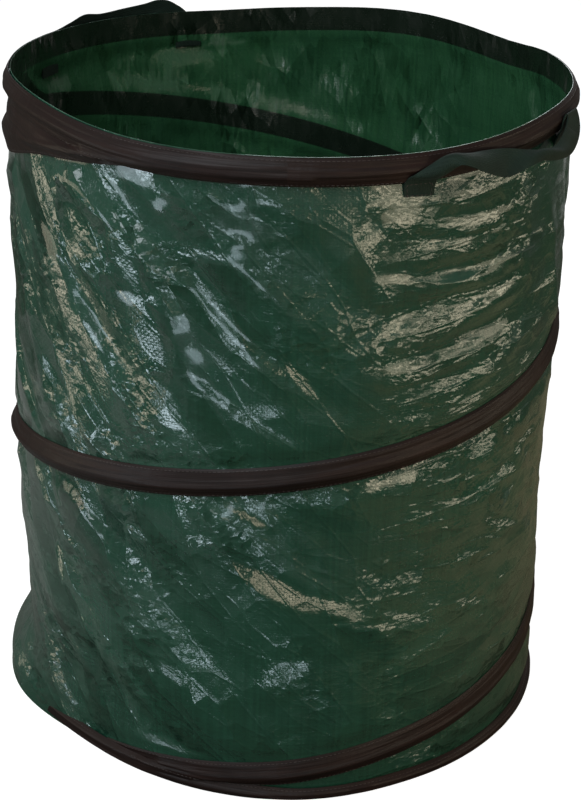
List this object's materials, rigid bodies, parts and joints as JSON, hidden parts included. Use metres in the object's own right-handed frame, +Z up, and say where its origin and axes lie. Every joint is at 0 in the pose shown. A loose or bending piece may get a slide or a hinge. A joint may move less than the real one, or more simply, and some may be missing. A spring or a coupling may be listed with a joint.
{
  "type": "pop-up leaf bag",
  "caption": "Free-standing garden bag: a woven plastic cylinder, open at the top, held up by a coiled spring wire in sewn tape casings, with webbing handles at the rim.",
  "frame": {"origin": "centre of the underside, on the ground", "axes": "+Z up along the bag's axis, front towards -Y, with one handle at the front right and one at the rear left"},
  "size_m": [0.5813, 0.5795, 0.6761],
  "materials": {
    "woven_polyethylene": "glossy, creased woven sheet",
    "casing_tape": "satin binding tape",
    "handle_webbing": "matt woven webbing",
    "spring_steel": "drawn wire",
    "crimped_sleeve": "zinc plated"
  },
  "bodies": {
    "base": {"wall_panel": "woven_polyethylene", "bottom_panel": "woven_polyethylene", "spiral_casing": "casing_tape", "spiral_wire": "spring_steel", "foot_casing": "casing_tape", "foot_hoop": "spring_steel", "foot_ferrule": "crimped_sleeve"},
    "rim": {"rim_casing": "casing_tape", "rim_hoop": "spring_steel", "rim_ferrule": "crimped_sleeve", "front_handle_tab_left": "handle_webbing", "front_handle_tab_right": "handle_webbing", "rear_handle_tab_left": "handle_webbing", "rear_handle_tab_right": "handle_webbing"},
    "front_handle": {"front_handle_strap": "handle_webbing"},
    "rear_handle": {"rear_handle_strap": "handle_webbing"}
  },
  "joints": [
    {"name": "rim_collapse", "type": "slide", "parent": "base", "child": "rim", "axis": [0, 0, 1], "range_m": [-0.607, 0], "stiffness_N_per_m": 60, "springref_m": 0.2, "deforming": ["wall_panel", "spiral_wire", "spiral_casing"]},
    {"name": "front_handle_lift", "type": "hinge", "parent": "rim", "child": "front_handle", "pos_m": [0.21657, -0.1626, 0.662], "axis": [-0.6004, -0.7997, 0], "range_deg": [0, 90]},
    {"name": "rear_handle_lift", "type": "hinge", "parent": "rim", "child": "rear_handle", "pos_m": [-0.21657, 0.1626, 0.662], "axis": [0.6004, 0.7997, 0], "range_deg": [-28, 62]}
  ]
}
